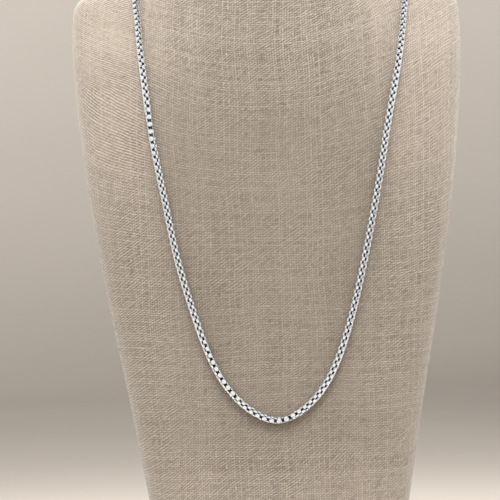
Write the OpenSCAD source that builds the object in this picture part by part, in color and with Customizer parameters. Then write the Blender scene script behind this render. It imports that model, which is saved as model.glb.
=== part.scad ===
// Box chain on a neck bust
// A rounded box chain, closed by a plain barrel clasp, worn on a linen display bust.
// Millimetres. +Z is up and -Y is the front. The origin is under the middle of the whole object.

/* [Bust] */
// Width of the bust across the shoulders
bust_w = 169; // [155:1:185]
// Depth of the bust from chest to back
bust_d = 86; // [76:1:96]
// Height of the bust from its base to the root of the neck
shoulder_h = 276; // [250:1:300]

/* [Neck] */
// Width of the neck
neck_w = 82; // [74:1:90]
// Depth of the neck
neck_d = 62; // [56:1:68]
// Height of the neck above its root
neck_h = 44; // [30:1:70]

/* [Chain] */
// Width of the chain across its links
chain_w = 2.7; // [2:0.1:4]
// Gap between the bust and what lies on it
seat_gap = 0.3; // [0.2:0.05:0.6]

/* [Clasp] */
// Diameter of the barrel
barrel_d = 3.2; // [2.8:0.1:4]
// Length of the barrel
barrel_l = 9; // [6:0.5:14]
// Diameter of the cap on each end of the barrel
cap_d = 2.8; // [2.4:0.1:3.6]
// Length of each cap
cap_l = 0.8; // [0.5:0.1:1.5]
// Wire of the loop on each end of the barrel
loop_wire = 0.8; // [0.6:0.05:1]
// Opening of those loops
loop_bore = 1.9; // [1.6:0.1:2.4]

/* [Jump rings] */
// Wire of the jump rings
ring_wire = 0.7; // [0.5:0.05:0.9]
// Opening of the jump rings
ring_bore = 2.8; // [2.5:0.1:3.6]
// Gap between pieces that hold each other
link_gap = 0.15; // [0.1:0.01:0.2]

/* [Hidden] */
$fn = 48;

// Columns of the section tables
HEIGHT = 0;
HALF_W = 1;
RIDGE_Y = 2;
FRONT = 3;
BACK = 4;
WING = 5;
SQUARE = 6;

// Sections of the body, base first: height over shoulder_h, half width over half of bust_w, then over
// bust_d how far the widest line lies behind the middle and the depths before and behind that line,
// then how full the wings are beside the neck, and how square the outline is, 2 being an ellipse
body_rows = [
    [0.000, 0.555, 0.025, 0.460, 0.415, 1.00, 2.60],
    [0.009, 0.585, 0.025, 0.485, 0.440, 1.00, 2.60],
    [0.145, 0.665, 0.040, 0.525, 0.450, 1.00, 2.60],
    [0.305, 0.755, 0.050, 0.547, 0.450, 1.00, 2.60],
    [0.430, 0.831, 0.050, 0.550, 0.450, 1.00, 2.60],
    [0.540, 0.891, 0.050, 0.550, 0.450, 1.00, 2.60],
    [0.650, 0.944, 0.050, 0.550, 0.450, 1.00, 2.58],
    [0.730, 0.971, 0.050, 0.547, 0.447, 1.00, 2.50],
    [0.790, 0.990, 0.055, 0.535, 0.440, 0.99, 2.40],
    [0.845, 1.000, 0.063, 0.508, 0.428, 0.95, 2.30],
    [0.895, 1.000, 0.087, 0.475, 0.400, 0.84, 2.20],
    [0.935, 0.984, 0.115, 0.468, 0.367, 0.68, 2.13],
    [0.957, 0.915, 0.130, 0.465, 0.347, 0.57, 2.10],
    [0.971, 0.830, 0.147, 0.470, 0.330, 0.44, 2.05],
    [0.984, 0.710, 0.150, 0.468, 0.320, 0.43, 2.00],
    [0.996, 0.610, 0.140, 0.455, 0.330, 0.58, 2.00]
];

// Sections of the neck, in the same columns: height over neck_h from its root, half width over half of
// neck_w, the widest line over bust_d, and the two depths over neck_d
neck_rows = [
    [0.115, 1.100, 0.105, 0.560, 0.475, 0.85, 2.00],
    [0.270, 1.030, 0.075, 0.518, 0.497, 1.00, 2.00],
    [0.540, 1.000, 0.063, 0.500, 0.500, 1.00, 2.00],
    [0.940, 1.000, 0.063, 0.500, 0.500, 1.00, 2.00],
    [1.000, 0.950, 0.063, 0.467, 0.467, 1.00, 2.00]
];

// How far the neck swells the sections that lie below it, over neck_w
neck_spread = 0.43;
// Points round each section, and sections between two rows of the tables
bust_sides = 48;
bust_steps = 2;
// The chain stands proud of the chest alone, so the body sits half of that behind the origin
bust_y = (chain_w + seat_gap) / 2;

rows = concat(
    [for (r = body_rows)
        [r[HEIGHT] * shoulder_h, r[HALF_W] * bust_w / 2, bust_y + r[RIDGE_Y] * bust_d,
         r[FRONT] * bust_d, r[BACK] * bust_d, r[WING], r[SQUARE]]],
    [for (r = neck_rows)
        [shoulder_h + r[HEIGHT] * neck_h, r[HALF_W] * neck_w / 2, bust_y + r[RIDGE_Y] * bust_d,
         r[FRONT] * neck_d, r[BACK] * neck_d, r[WING], r[SQUARE]]]
);

// Route of the chain over the chest, from the left shoulder down and up to the right one: across over
// half of bust_w, height over shoulder_h
front_route = [
    [-0.650, 0.915], [-0.635, 0.870], [-0.610, 0.800], [-0.580, 0.720], [-0.530, 0.630],
    [-0.470, 0.530], [-0.390, 0.440], [-0.310, 0.370], [-0.220, 0.325], [-0.110, 0.295],
    [0.000, 0.2835],
    [0.105, 0.295], [0.210, 0.325], [0.295, 0.370], [0.375, 0.440], [0.450, 0.530],
    [0.520, 0.630], [0.575, 0.720], [0.630, 0.800], [0.675, 0.870], [0.700, 0.915]
];

// Route of the chain over each shoulder and round the nape: turn round the bust from its front in
// degrees, height over shoulder_h
left_route = [
    [-180, 1.016], [-162, 1.018], [-142, 1.018], [-122, 1.013], [-105, 1.005],
    [-90, 0.997], [-76, 0.990], [-60, 0.9805], [-47.5, 0.965], [-42, 0.946]
];
right_route = [
    [46.5, 0.946], [52.5, 0.964], [63, 0.9775], [77, 0.987], [90, 0.993],
    [105, 1.000], [122, 1.008], [142, 1.0145], [162, 1.017], [180, 1.016]
];
// Points between two points of the route
route_steps = 12;
// Sides of the chain's tube, and the way between two of its rings over chain_w
tube_sides = 8;
tube_step = 2.45;

// Smooth curve through column c of the section rows, at height z
function row_below(z, i = 0) =
    i < len(rows) - 2 && z >= rows[i + 1][HEIGHT] ? row_below(z, i + 1) : i;
function row_slope(i, c) =
    let (a = rows[max(i - 1, 0)], b = rows[min(i + 1, len(rows) - 1)])
    (b[c] - a[c]) / (b[HEIGHT] - a[HEIGHT]);
function at(z, c) =
    let (
        i = row_below(z),
        h = rows[i + 1][HEIGHT] - rows[i][HEIGHT],
        u = (z - rows[i][HEIGHT]) / h
    )
    (1 + 2 * u) * pow(1 - u, 2) * rows[i][c]
    + u * pow(1 - u, 2) * h * row_slope(i, c)
    + u * u * (3 - 2 * u) * rows[i + 1][c]
    + u * u * (u - 1) * h * row_slope(i + 1, c);

// Point of the bust's surface at a turn round it from the front, and a height
function skin(turn, z) =
    let (
        n = at(z, SQUARE),
        reach = pow(pow(abs(sin(turn)), n) + pow(abs(cos(turn)), n), -1 / n),
        x = at(z, HALF_W) * reach * sin(turn),
        fill = at(z, WING) + (1 - at(z, WING)) * exp(-pow(x / (neck_spread * neck_w), 2)),
        depth = at(z, cos(turn) > 0 ? FRONT : BACK)
    )
    [x, at(z, RIDGE_Y) - depth * fill * reach * cos(turn), z];
function unit(v) = v / norm(v);
function skin_normal(turn, z) =
    unit(cross(
        skin(turn + 0.5, z) - skin(turn - 0.5, z),
        skin(turn, z + 0.5) - skin(turn, z - 0.5)
    ));
function turn_at(x, z) =
    let (n = at(z, SQUARE), s = min(1, abs(x) / at(z, HALF_W)))
    sign(x) * atan2(s, pow(1 - pow(s, n), 1 / n));

// Middle of the chain where it lies over a point of the surface
function chain_point(p) = skin(p[0], p[1]) + (chain_w / 2 + seat_gap) * skin_normal(p[0], p[1]);

// Curve through the points p, at the part u of the way from point i to the next
function along(p, i, u) =
    let (
        b = p[i],
        c = p[i + 1],
        a = i > 0 ? p[i - 1] : 2 * b - c,
        d = i < len(p) - 2 ? p[i + 2] : 2 * c - b
    )
    0.5 * (2 * b + (c - a) * u + (2 * a - 5 * b + 4 * c - d) * u * u + (3 * b - a - 3 * c + d) * pow(u, 3));

route = concat(
    [for (p = left_route) [p[0], p[1] * shoulder_h]],
    [for (p = front_route) [turn_at(p[0] * bust_w / 2, p[1] * shoulder_h), p[1] * shoulder_h]],
    [for (p = right_route) [p[0], p[1] * shoulder_h]]
);
fine_route = concat(
    [for (i = [0 : len(route) - 2]) for (k = [0 : route_steps - 1]) along(route, i, k / route_steps)],
    [route[len(route) - 1]]
);
fine_points = [for (p = fine_route) chain_point(p)];
way = [
    for (i = 0, s = 0; i < len(fine_points);
         s = s + (i + 1 < len(fine_points) ? norm(fine_points[i + 1] - fine_points[i]) : 0), i = i + 1) s
];
loop_l = way[len(way) - 1];
turn_by_way = [for (i = [0 : len(way) - 1]) [way[i], fine_route[i][0]]];
height_by_way = [for (i = [0 : len(way) - 1]) [way[i], fine_route[i][1]]];
function route_at(s) = [lookup(s, turn_by_way), lookup(s, height_by_way)];

// The clasp lies across the nape: x along the barrel, y out of the surface
nape = skin(180, route[0][1]);
nape_out = skin_normal(180, route[0][1]);
nape_tilt = atan2(nape_out[2], nape_out[1]);
barrel_y = seat_gap + barrel_d / 2;
loop_r = (loop_bore + loop_wire) / 2;
loop_x = barrel_l / 2 + loop_r - loop_wire / 2;
ring_r = (ring_bore + ring_wire) / 2;
ring_hold_x = loop_x + loop_bore / 2 - link_gap - ring_wire / 2;
chain_end = ring_hold_x + 2 * ring_r + ring_wire / 2 + seat_gap;
// Each jump ring leans from the barrel's loop down to the end of the chain
end_point = chain_point(route_at(chain_end)) - nape;
ring_tilt = atan2(barrel_y - end_point * nape_out, chain_end - ring_hold_x);

// Tube of the chain
tube_n = ceil((loop_l - 2 * chain_end) / (tube_step * chain_w));
tube_route = [for (k = [0 : tube_n]) route_at(chain_end + k * (loop_l - 2 * chain_end) / tube_n)];
tube_points = [for (p = tube_route) chain_point(p)];
tube_out = [for (p = tube_route) skin_normal(p[0], p[1])];
// A straight stretch cuts across a bend, so a ring on a bend stands out by as much
function bend(k) =
    k == 0 || k == tube_n ? 0
    : max(0, (tube_points[k] - (tube_points[k - 1] + tube_points[k + 1]) / 2) * tube_out[k] / 4);
tube_middle = [for (k = [0 : tube_n]) tube_points[k] + bend(k) * tube_out[k]];
function tube_ring(k) =
    let (
        ahead = unit(tube_points[min(k + 1, tube_n)] - tube_points[max(k - 1, 0)]),
        side = unit(cross(ahead, tube_out[k])),
        out = cross(side, ahead)
    )
    [for (j = [0 : tube_sides - 1])
        tube_middle[k]
        + chain_w / 2 * (cos(360 * j / tube_sides) * side - sin(360 * j / tube_sides) * out)];

// Closed solid through rings of points, each ring seen anticlockwise from the ring after it
module loft(rings) {
    n = len(rings[0]);
    last = (len(rings) - 1) * n;
    polyhedron(
        points = [for (ring = rings) for (p = ring) p],
        faces = concat(
            [[for (j = [0 : n - 1]) j]],
            [for (i = [0 : len(rings) - 2]) for (j = [0 : n - 1])
                [i * n + j, (i + 1) * n + j, (i + 1) * n + (j + 1) % n]],
            [for (i = [0 : len(rings) - 2]) for (j = [0 : n - 1])
                [i * n + j, (i + 1) * n + (j + 1) % n, i * n + (j + 1) % n]],
            [[for (j = [n - 1 : -1 : 0]) last + j]]
        ),
        convexity = 6
    );
}

module torus(bore, wire) {
    rotate_extrude() translate([(bore + wire) / 2, 0]) circle(d = wire, $fn = 24);
}

module at_nape() {
    translate(nape) rotate([nape_tilt, 0, 0]) children();
}

module bust() {
    levels = concat(
        [for (i = [0 : len(rows) - 2]) for (k = [0 : bust_steps - 1])
            rows[i][HEIGHT] + (rows[i + 1][HEIGHT] - rows[i][HEIGHT]) * k / bust_steps],
        [rows[len(rows) - 1][HEIGHT]]
    );
    color([0.66, 0.60, 0.53])
        loft([for (z = levels) [for (j = [0 : bust_sides - 1]) skin(360 * j / bust_sides, z)]]);
}

module chain() {
    color("silver") loft([for (k = [0 : tube_n]) tube_ring(k)]);
}

// A jump ring on the left side, -1, or the right side, 1, of the clasp
module jump_ring(side) {
    color("silver")
        at_nape()
        translate([side * ring_hold_x, barrel_y, 0])
        rotate([0, 0, -side * ring_tilt])
        translate([side * ring_r, 0, 0])
        rotate([90, 0, 0])
        torus(ring_bore, ring_wire);
}

module clasp() {
    color("silver")
        at_nape()
        translate([0, barrel_y, 0]) {
            rotate([0, 90, 0]) cylinder(d = barrel_d, h = barrel_l - 2 * cap_l, center = true);
            rotate([0, 90, 0]) cylinder(d = cap_d, h = barrel_l, center = true);
            for (side = [-1, 1]) translate([side * loop_x, 0, 0]) torus(loop_bore, loop_wire);
        }
}

bust();
chain();
jump_ring(-1);  // ring_left
jump_ring(1);  // ring_right
clasp();
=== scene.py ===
"""Box chain on a neck bust: its links, its linen bust, and a plain studio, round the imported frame.

Sizes are in millimetres until a mesh is made. +Z is up and -Y is the front.
"""

import math

import bpy
import numpy as np
from mathutils import Matrix, Vector


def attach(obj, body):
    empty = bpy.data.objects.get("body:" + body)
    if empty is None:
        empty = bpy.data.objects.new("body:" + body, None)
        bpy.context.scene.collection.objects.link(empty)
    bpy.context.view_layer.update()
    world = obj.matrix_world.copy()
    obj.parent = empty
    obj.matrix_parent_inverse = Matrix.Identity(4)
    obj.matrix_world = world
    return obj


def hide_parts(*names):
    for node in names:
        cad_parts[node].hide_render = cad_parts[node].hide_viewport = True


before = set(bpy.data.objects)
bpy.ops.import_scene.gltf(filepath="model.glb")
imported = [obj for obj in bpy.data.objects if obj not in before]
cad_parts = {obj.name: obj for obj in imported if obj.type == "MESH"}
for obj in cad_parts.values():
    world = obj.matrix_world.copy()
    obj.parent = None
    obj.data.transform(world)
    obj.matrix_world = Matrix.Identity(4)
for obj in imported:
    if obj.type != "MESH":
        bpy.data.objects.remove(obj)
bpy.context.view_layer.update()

MM = 0.001

# The bust and the chain's route, as in the part's source
BUST_W, BUST_D, SHOULDER_H = 169.0, 86.0, 276.0
NECK_W, NECK_D, NECK_H = 82.0, 62.0, 44.0
NECK_SPREAD = 0.43 * NECK_W
CHAIN_W, SEAT_GAP = 2.7, 0.3
BUST_Y = (CHAIN_W + SEAT_GAP) / 2
# How far the chain's line stands off the bust
CHAIN_LIFT = CHAIN_W / 2 + SEAT_GAP

# height / half width / widest line / front depth / back depth / fullness of the wings / squareness
BODY_ROWS = [
    [0.000, 0.555, 0.025, 0.460, 0.415, 1.00, 2.60],
    [0.009, 0.585, 0.025, 0.485, 0.440, 1.00, 2.60],
    [0.145, 0.665, 0.040, 0.525, 0.450, 1.00, 2.60],
    [0.305, 0.755, 0.050, 0.547, 0.450, 1.00, 2.60],
    [0.430, 0.831, 0.050, 0.550, 0.450, 1.00, 2.60],
    [0.540, 0.891, 0.050, 0.550, 0.450, 1.00, 2.60],
    [0.650, 0.944, 0.050, 0.550, 0.450, 1.00, 2.58],
    [0.730, 0.971, 0.050, 0.547, 0.447, 1.00, 2.50],
    [0.790, 0.990, 0.055, 0.535, 0.440, 0.99, 2.40],
    [0.845, 1.000, 0.063, 0.508, 0.428, 0.95, 2.30],
    [0.895, 1.000, 0.087, 0.475, 0.400, 0.84, 2.20],
    [0.935, 0.984, 0.115, 0.468, 0.367, 0.68, 2.13],
    [0.957, 0.915, 0.130, 0.465, 0.347, 0.57, 2.10],
    [0.971, 0.830, 0.147, 0.470, 0.330, 0.44, 2.05],
    [0.984, 0.710, 0.150, 0.468, 0.320, 0.43, 2.00],
    [0.996, 0.610, 0.140, 0.455, 0.330, 0.58, 2.00],
]
NECK_ROWS = [
    [0.115, 1.100, 0.105, 0.560, 0.475, 0.85, 2.00],
    [0.270, 1.030, 0.075, 0.518, 0.497, 1.00, 2.00],
    [0.540, 1.000, 0.063, 0.500, 0.500, 1.00, 2.00],
    [0.940, 1.000, 0.063, 0.500, 0.500, 1.00, 2.00],
    [1.000, 0.950, 0.063, 0.467, 0.467, 1.00, 2.00],
]
ROWS = np.array(
    [
        [h * SHOULDER_H, w * BUST_W / 2, BUST_Y + r * BUST_D, f * BUST_D, b * BUST_D, m, n]
        for h, w, r, f, b, m, n in BODY_ROWS
    ]
    + [
        [SHOULDER_H + h * NECK_H, w * NECK_W / 2, BUST_Y + r * BUST_D, f * NECK_D, b * NECK_D, m, n]
        for h, w, r, f, b, m, n in NECK_ROWS
    ]
)
HEIGHT, HALF_W, RIDGE_Y, FRONT, BACK, WING, SQUARE = range(7)

# Over the chest: across / half width, height / shoulder height
FRONT_ROUTE = [
    [-0.650, 0.915], [-0.635, 0.870], [-0.610, 0.800], [-0.580, 0.720], [-0.530, 0.630],
    [-0.470, 0.530], [-0.390, 0.440], [-0.310, 0.370], [-0.220, 0.325], [-0.110, 0.295],
    [0.000, 0.2835],
    [0.105, 0.295], [0.210, 0.325], [0.295, 0.370], [0.375, 0.440], [0.450, 0.530],
    [0.520, 0.630], [0.575, 0.720], [0.630, 0.800], [0.675, 0.870], [0.700, 0.915],
]
# Over the shoulders and round the nape: turn in degrees, height / shoulder height
LEFT_ROUTE = [
    [-180, 1.016], [-162, 1.018], [-142, 1.018], [-122, 1.013], [-105, 1.005],
    [-90, 0.997], [-76, 0.990], [-60, 0.9805], [-47.5, 0.965], [-42, 0.946],
]
RIGHT_ROUTE = [
    [46.5, 0.946], [52.5, 0.964], [63, 0.9775], [77, 0.987], [90, 0.993],
    [105, 1.000], [122, 1.008], [142, 1.0145], [162, 1.017], [180, 1.016],
]
ROUTE_STEPS = 12


def at(z, column):
    """Smooth curve through one column of the section rows."""
    z = np.asarray(z, float)
    row = np.clip(np.searchsorted(ROWS[:, HEIGHT], z, side="right") - 1, 0, len(ROWS) - 2)
    before, after = np.maximum(row - 1, 0), np.minimum(row + 2, len(ROWS) - 1)
    height, value = ROWS[:, HEIGHT], ROWS[:, column]
    span = height[row + 1] - height[row]
    slope_a = (value[row + 1] - value[before]) / (height[row + 1] - height[before])
    slope_b = (value[after] - value[row]) / (height[after] - height[row])
    u = (z - height[row]) / span
    return (
        (1 + 2 * u) * (1 - u) ** 2 * value[row]
        + u * (1 - u) ** 2 * span * slope_a
        + u * u * (3 - 2 * u) * value[row + 1]
        + u * u * (u - 1) * span * slope_b
    )


def skin(turn, z):
    """Point of the bust's surface at a turn round it from the front, in degrees, and a height."""
    turn, z = np.broadcast_arrays(np.asarray(turn, float), np.asarray(z, float))
    s, c = np.sin(np.radians(turn)), np.cos(np.radians(turn))
    n = at(z, SQUARE)
    reach = (np.abs(s) ** n + np.abs(c) ** n) ** (-1 / n)
    x = at(z, HALF_W) * reach * s
    fill = at(z, WING) + (1 - at(z, WING)) * np.exp(-((x / NECK_SPREAD) ** 2))
    depth = np.where(c > 0, at(z, FRONT), at(z, BACK))
    return np.stack([x, at(z, RIDGE_Y) - depth * fill * reach * c, z], -1)


def unit(v):
    return v / np.linalg.norm(v, axis=-1, keepdims=True)


def skin_normal(turn, z):
    return unit(
        np.cross(skin(turn + 0.5, z) - skin(turn - 0.5, z), skin(turn, z + 0.5) - skin(turn, z - 0.5))
    )


def turn_at(x, z):
    n = at(z, SQUARE)
    s = np.minimum(1, np.abs(x) / at(z, HALF_W))
    return np.sign(x) * np.degrees(np.arctan2(s, (1 - s**n) ** (1 / n)))


def curve_through(points, steps):
    """Catmull-Rom curve through the points, as the source draws it."""
    p = np.asarray(points, float)
    p = np.vstack([2 * p[0] - p[1], p, 2 * p[-1] - p[-2]])
    out = []
    for i in range(1, len(p) - 2):
        a, b, c, d = p[i - 1 : i + 3]
        for k in range(steps):
            u = k / steps
            second, third = 2 * a - 5 * b + 4 * c - d, 3 * b - a - 3 * c + d
            out.append(0.5 * (2 * b + (c - a) * u + second * u**2 + third * u**3))
    return np.array(out + [p[-2]])


# Modelling helpers


def clear_selection():
    if bpy.context.mode != "OBJECT":
        bpy.ops.object.mode_set(mode="OBJECT")
    bpy.ops.object.select_all(action="DESELECT")


def start(name):
    """The new primitive, named, with its place moved into its mesh."""
    piece = bpy.context.object
    piece.name = piece.data.name = name
    bpy.ops.object.transform_apply(location=True, rotation=True, scale=True)
    return piece


def places(mesh):
    co = np.zeros(len(mesh.vertices) * 3)
    mesh.vertices.foreach_get("co", co)
    return co.reshape(-1, 3)


def settle(mesh, points):
    mesh.vertices.foreach_set("co", np.asarray(points, float).ravel())
    mesh.update()


def finish_piece(piece, material, slot, *nodes):
    piece.data.materials.clear()
    piece.data.materials.append(material)
    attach(piece, "root")
    if nodes:
        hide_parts(*nodes)


# Shader helpers


class Value:
    """A number that varies over a surface. Arithmetic on it adds Math nodes."""

    def __init__(self, tree, socket):
        self.tree, self.socket = tree, socket

    def math(self, operation, *others):
        return self.tree.add(
            "ShaderNodeMath", dict(enumerate((self, *others))), operation=operation
        )

    def __add__(self, other):
        return self.math("ADD", other)

    __radd__ = __add__

    def __mul__(self, other):
        return self.math("MULTIPLY", other)

    __rmul__ = __mul__

    def __sub__(self, other):
        return self.math("SUBTRACT", other)

    def __rsub__(self, other):
        return self.tree.add("ShaderNodeMath", {0: other, 1: self}, operation="SUBTRACT")

    def __truediv__(self, other):
        return self.math("DIVIDE", other)

    def __pow__(self, other):
        return self.math("POWER", other)

    def floor(self):
        return self.math("FLOOR")

    def fraction(self):
        return self.math("FRACT")

    def cosine(self):
        return self.math("COSINE")

    def greater(self, other):
        return self.math("MAXIMUM", other)

    def smooth(self, low, high):
        """0 below low, 1 above high, and smooth between them."""
        return self.tree.add(
            "ShaderNodeMapRange",
            {"Value": self, "From Min": low, "From Max": high},
            interpolation_type="SMOOTHSTEP",
        )


class Finish:
    """The nodes of one material."""

    def __init__(self, name, **constants):
        self.material = bpy.data.materials.new(name)
        self.material.use_nodes = True
        self.nodes = self.material.node_tree.nodes
        self.shader = self.nodes["Principled BSDF"]
        for socket, value in constants.items():
            self.shader.inputs[socket.replace("_", " ")].default_value = value

    def put(self, socket, value):
        if isinstance(value, Value):
            self.material.node_tree.links.new(value.socket, socket)
        else:
            socket.default_value = value

    def add(self, kind, values, out=0, **settings):
        """A node of any kind: its settings first, then the values or links of its sockets."""
        node = self.nodes.new(kind)
        for name, value in settings.items():
            setattr(node, name, value)
        for key, value in values.items():
            self.put(node.inputs[key], value)
        return Value(self, node.outputs[out])

    def colour(self, share, low, high):
        return self.add(
            "ShaderNodeMix", {0: share, 6: low, 7: high}, out=2, data_type="RGBA", clamp_factor=True
        )

    def vector(self, x, y, z=0.0):
        return self.add("ShaderNodeCombineXYZ", {0: x, 1: y, 2: z})

    def noise(self, vector, scale, detail=2.0, roughness=0.5):
        return self.add(
            "ShaderNodeTexNoise",
            {"Vector": vector, "Scale": scale, "Detail": detail, "Roughness": roughness},
        )

    def chance(self, number):
        return self.add("ShaderNodeTexWhiteNoise", {"W": number}, noise_dimensions="1D")

    def bump(self, height, distance, strength=1.0):
        return self.add("ShaderNodeBump", {"Height": height, "Distance": distance, "Strength": strength})

    def drive(self, **sockets):
        for socket, value in sockets.items():
            self.put(self.shader.inputs[socket.replace("_", " ")], value)


# Materials

WARP_PITCH, WEFT_PITCH = 1.08, 0.98
THREAD_DARK = (0.0520, 0.0425, 0.0330, 1)
THREAD_LIGHT = (0.262, 0.222, 0.180, 1)


def linen():
    """Plain-woven natural linen. Its UV map runs along the warp and weft, in metres."""
    f = Finish("linen", Roughness=0.88, Sheen_Weight=0.25, Sheen_Roughness=0.4)
    f.shader.inputs["Specular IOR Level"].default_value = 0.2
    way = f.add("ShaderNodeUVMap", {}, uv_map="weave")
    across = f.add("ShaderNodeSeparateXYZ", {0: way}) * (1 / MM)
    along = f.add("ShaderNodeSeparateXYZ", {0: way}, out=1) * (1 / MM)
    place = f.add("ShaderNodeTexCoord", {}, out=3)
    x = f.add("ShaderNodeSeparateXYZ", {0: place}) * (1 / MM)
    z = f.add("ShaderNodeSeparateXYZ", {0: place}, out=2) * (1 / MM)

    # the weft stands out on the upper left, where it is drawn up to the shoulder
    side_view = across.math("ABSOLUTE").smooth(78, 104)
    corner = (1.0 - x.smooth(-62, -30)) * z.smooth(168, 205) * (1.0 - side_view)

    # the threads run nearly straight
    plain = f.vector(across, along)
    u = across + (f.noise(plain, 0.02, 1.0) - 0.5) * 5.0 + (f.noise(plain, 0.22, 1.0) - 0.5) * 0.7
    shifted = f.vector(across, along, 40.0)
    v = along + (f.noise(shifted, 0.02, 1.0) - 0.5) * 5.0 + (f.noise(shifted, 0.22, 1.0) - 0.5) * 0.7
    warp, weft = u / WARP_PITCH, v / WEFT_PITCH
    warp_no, weft_no = warp.floor(), weft.floor()
    warp_side, weft_side = warp.fraction() - 0.5, weft.fraction() - 0.5

    # each thread has its own thickness, and slubs along it
    warp_slub = f.chance(warp_no) * 0.3 + f.noise(f.vector(warp_no * 7.3, v * 0.40), 1.0, 2.0)
    weft_slub = f.chance(weft_no + 900.0) * 0.3 + f.noise(f.vector(u * 0.33, weft_no * 5.7), 1.0, 2.0)

    # over and under, with a pore at each crossing's corners, which the colour darkens as painted shade
    warp_rise = ((weft - 0.5 + warp_no) * math.pi).cosine()
    weft_rise = ((warp - 0.5 + weft_no) * math.pi).cosine() * -1.0
    warp_round = 1.0 - (warp_side * 2.0).math("ABSOLUTE") ** 2.4
    weft_round = 1.0 - (weft_side * 2.0).math("ABSOLUTE") ** 2.4
    warp_top = warp_round * (0.56 + warp_rise * 0.16 + (warp_slub - 0.65) * 1.1 - corner * 0.22)
    weft_top = weft_round * (0.60 + weft_rise * 0.16 + (weft_slub - 0.65) * 1.1)
    grid = warp_top.greater(weft_top)

    patch = f.noise(f.vector(across, along, 21.0), 0.06, 2.0)
    # where the cloth is pulled on the bias, ribs of slanting threads stand out in short runs
    lean = math.radians(34)
    bias_u = x * math.cos(lean) + z * math.sin(lean)
    bias_v = z * math.cos(lean) - x * math.sin(lean)
    sway = f.noise(f.vector(bias_u * 0.022, bias_v * 0.022, 3.0), 1.0, 1.0)
    ribs = ((bias_v + (sway - 0.5) * 9.0) * (2 * math.pi / 1.04)).cosine()
    runs = f.noise(f.vector(bias_u * 0.17, bias_v * 0.62, 9.0), 1.0, 2.0, 0.6).smooth(0.38, 0.60)
    runs = runs * (1.0 - corner) * (1.0 - side_view)
    strands = f.noise(f.vector(bias_u * 0.30, bias_v * 1.35), 1.0, 2.0, 0.6)

    drawn = (weft_round - 0.7) * (corner * (patch * 0.9 - 0.12))

    cloud = f.noise(f.vector(across, along, 7.0), 0.035, 3.0)
    edge = (x + 1.0).math("ABSOLUTE").smooth(32, 62)
    # the relief is stronger on the flanks, at the top and at the foot, where the light grazes the cloth;
    # in the colour this is painted light and shade
    grazing_light_contrast = 0.62 + 0.26 * edge.greater(z.smooth(190, 235)).greater(1.0 - z.smooth(52, 80))
    # the relief is the bump's height and goes into the colour too: painted shade in the sunk parts and
    # pores, painted light on the raised threads
    relief = (grid - 0.62) * (1.15 - runs * 0.60) + ribs * runs * 0.26 + drawn + (strands - 0.5) * 0.50
    relief = relief * grazing_light_contrast * (0.70 + patch * 0.60)

    # painted light: the cloth is paler low down, less so on the flanks
    painted_light_low = (1.0 - z.smooth(40, 76)) * (1.0 - edge * 0.7)
    # painted light: paler on the flanks, more so up at the shoulders, and on the upper left
    painted_light_flanks = edge * (0.05 + z.smooth(130, 215) * 0.19) + corner * 0.12
    tone = 0.53 + relief + (cloud - 0.5) * 0.12 + painted_light_low * 0.25 + painted_light_flanks
    f.drive(
        Base_Color=f.colour(tone, THREAD_DARK, THREAD_LIGHT),
        Normal=f.bump(relief, 0.22 * MM),
    )
    return f.material


SILVER_BRIGHT = (0.865, 0.895, 0.935, 1)
# near-black painted shade for the insides of the links
SILVER_PAINTED_SHADE = (0.030, 0.030, 0.034, 1)


def silver(name, recesses=False):
    """Polished silver. Where recesses is set, an attribute darkens the insides of the links with painted
    shade.
    """
    f = Finish(name, Metallic=1.0)
    place = f.add("ShaderNodeTexCoord", {}, out=3)
    rub = f.noise(place, 2600.0, 3.0, 0.6)
    haze = f.noise(place, 320.0, 2.0)
    rough = 0.17 + rub * 0.08 + haze * 0.06
    if recesses:
        deep = f.add("ShaderNodeAttribute", {}, out=2, attribute_name="recess")
        f.drive(Base_Color=f.colour(deep, SILVER_BRIGHT, SILVER_PAINTED_SHADE), Roughness=rough + deep * 0.35)
    else:
        tone = f.colour(haze * 0.3, SILVER_BRIGHT, (0.74, 0.735, 0.73, 1))
        f.drive(Base_Color=tone, Roughness=rough)
    f.drive(Normal=f.bump(rub, 0.004 * MM, 0.6))
    return f.material


def studio_paper():
    """Graded backdrop paper: deeper on the floor, where most light falls, and paler up and leftwards."""
    f = Finish("studio_paper", Roughness=0.95)
    place = f.add("ShaderNodeTexCoord", {}, out=3)
    fold = f.noise(place, 1.6, 2.0)
    across = f.add("ShaderNodeSeparateXYZ", {0: place})
    rise = ((f.add("ShaderNodeSeparateXYZ", {0: place}, out=2) + 0.02).greater(0.001) / 0.95) ** 0.6
    share = rise - across * (1.0 - rise) * 0.2 + (fold - 0.5) * 0.2
    f.drive(Base_Color=f.colour(share, (0.300, 0.268, 0.236, 1), (0.83, 0.76, 0.685, 1)))
    return f.material


# The bust

BUST_SIDES = 144
LEVEL_STEP = 2.6


def bust_levels():
    """Heights of the mesh's rings, closer where the surface turns in fast."""
    levels = [ROWS[0, HEIGHT]]
    for low, high in zip(ROWS, ROWS[1:]):
        travel = np.hypot(
            high[HEIGHT] - low[HEIGHT],
            max(abs(high[HALF_W] - low[HALF_W]), abs(high[FRONT] - low[FRONT])),
        )
        steps = max(1, math.ceil(travel / LEVEL_STEP))
        levels += [low[HEIGHT] + (high[HEIGHT] - low[HEIGHT]) * (k + 1) / steps for k in range(steps)]
    return levels


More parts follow.
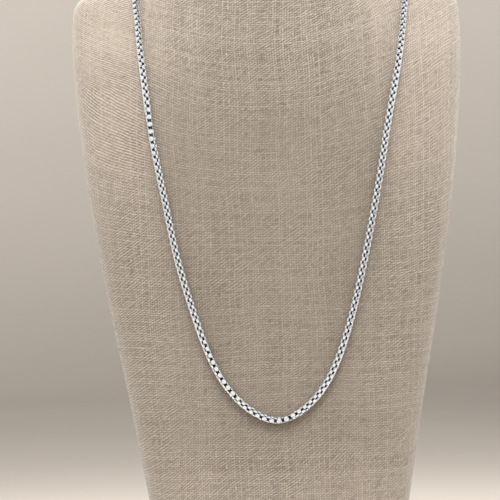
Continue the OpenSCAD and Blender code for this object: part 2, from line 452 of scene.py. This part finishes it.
def weave_map(levels):
    """Way round and up the surface, in metres, at each level and side, from the front's middle."""
    half = BUST_SIDES // 2
    turns = np.arange(-half, half + 1) * 360 / BUST_SIDES
    points = skin(turns[None, :], np.array(levels)[:, None])
    step = np.linalg.norm(np.diff(points, axis=1), axis=2)
    around = np.concatenate([np.zeros((len(levels), 1)), np.cumsum(step, axis=1)], axis=1)
    around -= around[:, half : half + 1]
    rise = np.linalg.norm(np.diff(points, axis=0), axis=2)
    up = np.concatenate([np.zeros((1, rise.shape[1])), np.cumsum(rise, axis=0)], axis=0)
    # the weft is drawn up towards the shoulders
    high = np.clip((np.array(levels)[:, None] - 70) / 150, 0, 1)
    up -= 50.0 * (1 - np.exp(-((around / 90) ** 2))) * high**2
    return around * MM, up * MM


def model_bust():
    clear_selection()
    levels = bust_levels()
    bpy.ops.mesh.primitive_cylinder_add(
        vertices=BUST_SIDES,
        radius=60 * MM,
        depth=(levels[1] - levels[0]) * MM,
        location=(0, 0, (levels[0] + levels[1]) / 2 * MM),
        end_fill_type="NGON",
        calc_uvs=False,
    )
    piece = start("linen_bust")
    mesh = piece.data
    bpy.ops.object.mode_set(mode="EDIT")
    bpy.ops.mesh.select_mode(type="FACE")
    bpy.ops.mesh.select_all(action="DESELECT")
    bpy.ops.object.mode_set(mode="OBJECT")
    for face in mesh.polygons:
        face.select = face.normal.z > 0.9
    bpy.ops.object.mode_set(mode="EDIT")
    for low, high in zip(levels[1:], levels[2:]):
        bpy.ops.mesh.extrude_region_move(TRANSFORM_OT_translate={"value": (0, 0, (high - low) * MM)})
    bpy.ops.object.mode_set(mode="OBJECT")

    # every ring takes the bust's section at its height
    co = places(mesh) / MM
    turn = np.degrees(np.arctan2(co[:, 0], -co[:, 1]))
    level = np.abs(co[:, 2:3] - np.array(levels)).argmin(axis=1)
    side = np.round(turn * BUST_SIDES / 360).astype(int)
    settle(mesh, skin(side * 360 / BUST_SIDES, np.array(levels)[level]) * MM)

    around, up = weave_map(levels)
    half = BUST_SIDES // 2
    uv = mesh.uv_layers.new(name="weave")
    for face in mesh.polygons:
        flat = len(face.vertices) > 4
        middle = math.atan2(face.center.x, -(face.center.y / MM - BUST_Y) * MM)
        for loop in face.loop_indices:
            vertex = mesh.loops[loop].vertex_index
            if flat:
                uv.data[loop].uv = mesh.vertices[vertex].co.xy
                continue
            column = side[vertex]
            if abs(column) == half:
                column = half if middle > 0 else -half
            uv.data[loop].uv = around[level[vertex], column + half], up[level[vertex], column + half]

    # the ends are worked inwards in rings, so that the cloth runs on over them
    bpy.ops.object.mode_set(mode="EDIT")
    bpy.ops.mesh.select_all(action="DESELECT")
    bpy.ops.object.mode_set(mode="OBJECT")
    for face in mesh.polygons:
        face.select = len(face.vertices) > 4
    bpy.ops.object.mode_set(mode="EDIT")
    for inward in (2.0, 6.0, 8.0):
        bpy.ops.mesh.inset(thickness=inward * MM, depth=0)
    bpy.ops.object.mode_set(mode="OBJECT")
    bpy.ops.object.shade_smooth_by_angle(angle=math.radians(50))
    return piece


# The chain

LINKS = 375
LINK_SIDES, WIRE_SIDES = 16, 6
LINK_HALF_W = CHAIN_W / 2
LINK_HALF_L = 1.16
# Width of a link's sides and of its end bars, and how far the ends bow out in the middle
WALL, BAR, BOW = 0.85, 0.38, 0.29
# Half depths of the link's section at its crest, between, and inside: of the sides, which round
# the chain off, and of the end bars, which pass through the neighbours
SIDE_DEPTHS = (0.53, 1.03, 0.62)
BAR_DEPTHS = (0.43, 0.47, 0.42)

# The torus that a link starts as
TORUS_R, TORUS_WIRE_R = 1.1, 0.3
# The corners of a link start this far from its middle, and get this share of the painted shade
CORNER_FROM, CORNER_SHADE = 0.7, 0.45

# Turn of the links about the chain's line: way along it from the lowest point, and the turn from
# the bust's surface towards the inside of the loop, in degrees. The rows of openings show it over
# the chest, and the rest is guessed.
TWIST = [
    [-298, 90], [-240, 86], [-169, 60], [-160, 67], [-152, 60], [-135, -4], [-127, -19],
    [-115, -25], [-100, -26], [-85, -30], [-58, -28], [-50, -36], [-40, -55], [-30, -61],
    [-25, -70], [-22, -70], [-18, -45], [-13, -32], [-3, -22], [4, 3], [8, 34], [14, 48],
    [23, 55], [57, 62], [110, 62], [134, 64], [144, 59], [159, 71], [172, 59], [200, 50],
    [240, 70], [299, 90],
]


def model_link():
    """One link: its length along Z, its opening towards Y, its strip crowned on the outside."""
    clear_selection()
    bpy.ops.mesh.primitive_torus_add(
        major_segments=LINK_SIDES,
        minor_segments=WIRE_SIDES,
        major_radius=TORUS_R * MM,
        minor_radius=TORUS_WIRE_R * MM,
        location=(0, 0, 0),
        rotation=(math.pi / 2, 0, 0),
        generate_uvs=False,
    )
    piece = start("link")
    mesh = piece.data
    # a quarter of the outline, from the middle of a side to the middle of an end: outer point,
    # inner point, and how far the section has turned from the side's into the bar's
    w, l = LINK_HALF_W, LINK_HALF_L
    inner_w, inner_l = w - WALL, l - BAR
    stations = [
        ((w, 0), (inner_w, 0), 0),  # middle of the side
        ((w, 0.68), (inner_w, 0.66), 0),  # end of the side plate
        ((w - 0.03, 0.80), (inner_w, 0.73), 1),  # shoulder between plate and bar
        ((w - 0.38, l - 0.06), (inner_w - 0.07, inner_l), 1),  # corner
        ((0, l + BOW), (0, inner_l), 1),  # middle of the end bar
    ]
    quarter = LINK_SIDES // 4

    co = places(mesh)
    angle = np.degrees(np.arctan2(co[:, 2], co[:, 0])) % 360
    along = np.round(angle * LINK_SIDES / 360).astype(int) % LINK_SIDES
    radius = np.hypot(co[:, 0], co[:, 2])
    round_wire = np.degrees(np.arctan2(co[:, 1], radius - TORUS_R * MM)) % 360
    wire = np.round(round_wire * WIRE_SIDES / 360).astype(int) % WIRE_SIDES
    # the strip's corners in turn: crest, widest line and flat inside, then the same on its far side
    strip = [(1.0, 0, 1), (0.55, 1, 1), (0.0, 2, 1), (0.0, 2, -1), (0.55, 1, -1), (1.0, 0, -1)]
    points = []
    for i, j in zip(along, wire):
        q, k = divmod(i, quarter)
        outer, inner, turned = stations[k if q % 2 == 0 else quarter - k]
        share, line, way = strip[j]
        x, z = (b + (a - b) * share for a, b in zip(outer, inner))
        depth = BAR_DEPTHS[line] if turned else SIDE_DEPTHS[line]
        points.append((x if q in (0, 3) else -x, depth * way, z if q in (0, 1) else -z))
    points = np.array(points)
    settle(mesh, points * MM)
    # painted shade on the faces inside the link and its bars, where they pass through the neighbours,
    # and less so on its corners but for their crests
    inside, crest = (wire == 2) | (wire == 3), (wire == 0) | (wire == 5)
    corner, middle = np.abs(points[:, 2]) > CORNER_FROM, np.abs(points[:, 0]) < 0.01
    recess = []
    for face in mesh.polygons:
        v = list(face.vertices)
        if inside[v].all() or middle[v].any():
            recess.append(1.0)
        else:
            recess.append(CORNER_SHADE if corner[v].all() and not crest[v].all() else 0.0)
    mesh.attributes.new("recess", "FLOAT", "FACE").data.foreach_set("value", recess)
    bpy.ops.object.mode_set(mode="EDIT")
    bpy.ops.mesh.select_all(action="SELECT")
    bpy.ops.mesh.normals_make_consistent(inside=False)
    bpy.ops.object.mode_set(mode="OBJECT")
    bpy.ops.object.shade_smooth_by_angle(angle=math.radians(64))
    return piece


def chain_route():
    """Turn and height of the chain's line at close steps, its points, and the way along it."""
    over_chest = [
        [float(turn_at(x * BUST_W / 2, z * SHOULDER_H)), z * SHOULDER_H] for x, z in FRONT_ROUTE
    ]
    knots = (
        [[t, z * SHOULDER_H] for t, z in LEFT_ROUTE]
        + over_chest
        + [[t, z * SHOULDER_H] for t, z in RIGHT_ROUTE]
    )
    fine = curve_through(knots, ROUTE_STEPS)
    points = skin(fine[:, 0], fine[:, 1]) + CHAIN_LIFT * skin_normal(fine[:, 0], fine[:, 1])
    way = np.concatenate([[0], np.cumsum(np.linalg.norm(np.diff(points, axis=0), axis=1))])
    return fine, points, way


# How far the first and the last link's middle lie from the nape, along the chain
END_WAY = 9.73


def model_chain():
    fine, points, way = chain_route()
    lowest = way[points[:, 2].argmin()]
    middles = np.linspace(END_WAY, way[-1] - END_WAY, LINKS)

    def on_route(s):
        turn, z = np.interp(s, way, fine[:, 0]), np.interp(s, way, fine[:, 1])
        out = skin_normal(turn, z)
        return skin(turn, z) + CHAIN_LIFT * out, out

    pitch = middles[1] - middles[0]
    here, out = on_route(middles)
    ahead = unit(on_route(middles + pitch / 2)[0] - on_route(middles - pitch / 2)[0])
    side = unit(np.cross(ahead, out))
    out = np.cross(side, ahead)
    twist = np.interp(middles - lowest, *np.array(TWIST).T)
    twist = np.radians(twist - 90 * (np.arange(LINKS) % 2))[:, None]
    opening = np.cos(twist) * out - np.sin(twist) * side

    link = model_link()
    copies = []
    for k in range(LINKS):
        turn = Matrix(np.column_stack([np.cross(opening[k], ahead[k]), opening[k], ahead[k]]).tolist())
        place = turn.to_4x4()
        place.translation = Vector(here[k] * MM)
        copy = link.copy()
        copy.data = link.data.copy()
        copy.data.transform(place)
        bpy.context.scene.collection.objects.link(copy)
        copies.append(copy)
    clear_selection()
    for copy in copies:
        copy.select_set(True)
    bpy.context.view_layer.objects.active = copies[0]
    bpy.ops.object.join()
    chain = bpy.context.object
    chain.name = chain.data.name = "chain_links"
    bpy.data.objects.remove(link)
    return chain


bust_piece = model_bust()
finish_piece(bust_piece, linen(), "linen", "bust")
chain_piece = model_chain()
finish_piece(chain_piece, silver("silver_links", recesses=True), "silver", "chain")
plain_silver = silver("silver_findings")
for node in ("ring_left", "ring_right", "clasp"):
    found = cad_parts[node]
    found.data.materials.clear()
    found.data.materials.append(plain_silver)

# The studio

FLOOR_FRONT, WALL_Y, SWEEP_R, SWEEP_W, WALL_TOP = -4.0, 3.0, 1.6, 9.0, 5.0


def model_sweep():
    """Floor and backdrop in one sheet, with a wide bend between them."""
    clear_selection()
    rows = 24
    bpy.ops.mesh.primitive_grid_add(
        x_subdivisions=1, y_subdivisions=rows + 2, size=2, location=(0, 0, 0), calc_uvs=False
    )
    piece = start("studio_sweep")
    mesh = piece.data
    bend_y = WALL_Y - SWEEP_R
    profile = [(FLOOR_FRONT, 0.0)]
    for k in range(rows + 1):
        turn = math.pi / 2 * k / rows
        profile.append((bend_y + SWEEP_R * math.sin(turn), SWEEP_R * (1 - math.cos(turn))))
    profile.append((WALL_Y, WALL_TOP))
    co = places(mesh)
    row = np.round((co[:, 1] + 1) / 2 * (rows + 2)).astype(int)
    yz = np.array(profile)[row]
    settle(mesh, np.column_stack([co[:, 0] * SWEEP_W / 2, yz]))
    bpy.ops.object.shade_smooth()
    mesh.materials.clear()
    mesh.materials.append(studio_paper())


def softbox(name, place, size, watts, spread, towards=(0, 0, 0.22)):
    """An area light with a grid, which keeps its beam within the spread, in degrees."""
    light = bpy.data.lights.new(name, "AREA")
    light.shape = "RECTANGLE"
    light.size, light.size_y = size
    light.energy = watts
    light.spread = math.radians(spread)
    lamp = bpy.data.objects.new(name, light)
    lamp.visible_camera = lamp.visible_glossy = False
    lamp.location = place
    lamp.rotation_euler = (Vector(towards) - Vector(place)).to_track_quat("-Z", "Y").to_euler()
    bpy.context.scene.collection.objects.link(lamp)


model_sweep()
softbox("softbox_over_back", (0.0, 0.55, 1.15), (0.9, 0.5), 3.3, spread=50)
softbox("softbox_over_front", (0.0, -0.60, 1.15), (0.9, 0.5), 3.2, spread=50)
softbox("softbox_left", (-1.4, -0.10, 0.35), (0.6, 0.9), 2.1, spread=60)
softbox("softbox_right", (1.4, -0.10, 0.35), (0.6, 0.9), 2.9, spread=60)
softbox("softbox_near_left", (-0.58, -0.50, 0.45), (0.60, 0.60), 1.45, spread=110)
softbox("softbox_near_right", (0.58, -0.50, 0.45), (0.60, 0.60), 1.0, spread=110)

world = bpy.data.worlds.new("studio_air")
world.use_nodes = True
world.node_tree.nodes["Background"].inputs["Color"].default_value = (1.0, 0.99, 0.975, 1)
world.node_tree.nodes["Background"].inputs["Strength"].default_value = 1.0
bpy.context.scene.world = world
bpy.context.scene.view_settings.view_transform = "Standard"

# The camera

MM_PER_PIXEL = 208.3 / 500
FRAME_MM = 500 * MM_PER_PIXEL
DISTANCE = 1000.0
ROLL = math.atan(0.0295)
CHEST_Y = BUST_Y + (0.050 - 0.550) * BUST_D
AIM_X, AIM_Z = -9.76, 149.48

camera_data = bpy.data.cameras.new("camera")
camera_data.sensor_width = 36
camera_data.lens = 36 * DISTANCE / FRAME_MM
camera = bpy.data.objects.new("camera", camera_data)
right = Vector((math.cos(ROLL), 0, -math.sin(ROLL)))
up = Vector((math.sin(ROLL), 0, math.cos(ROLL)))
camera.matrix_world = Matrix.Translation(
    Vector((AIM_X, CHEST_Y - DISTANCE, AIM_Z)) * MM
) @ Matrix((right, up, Vector((0, -1, 0)))).transposed().to_4x4()
bpy.context.scene.collection.objects.link(camera)
bpy.context.scene.camera = camera
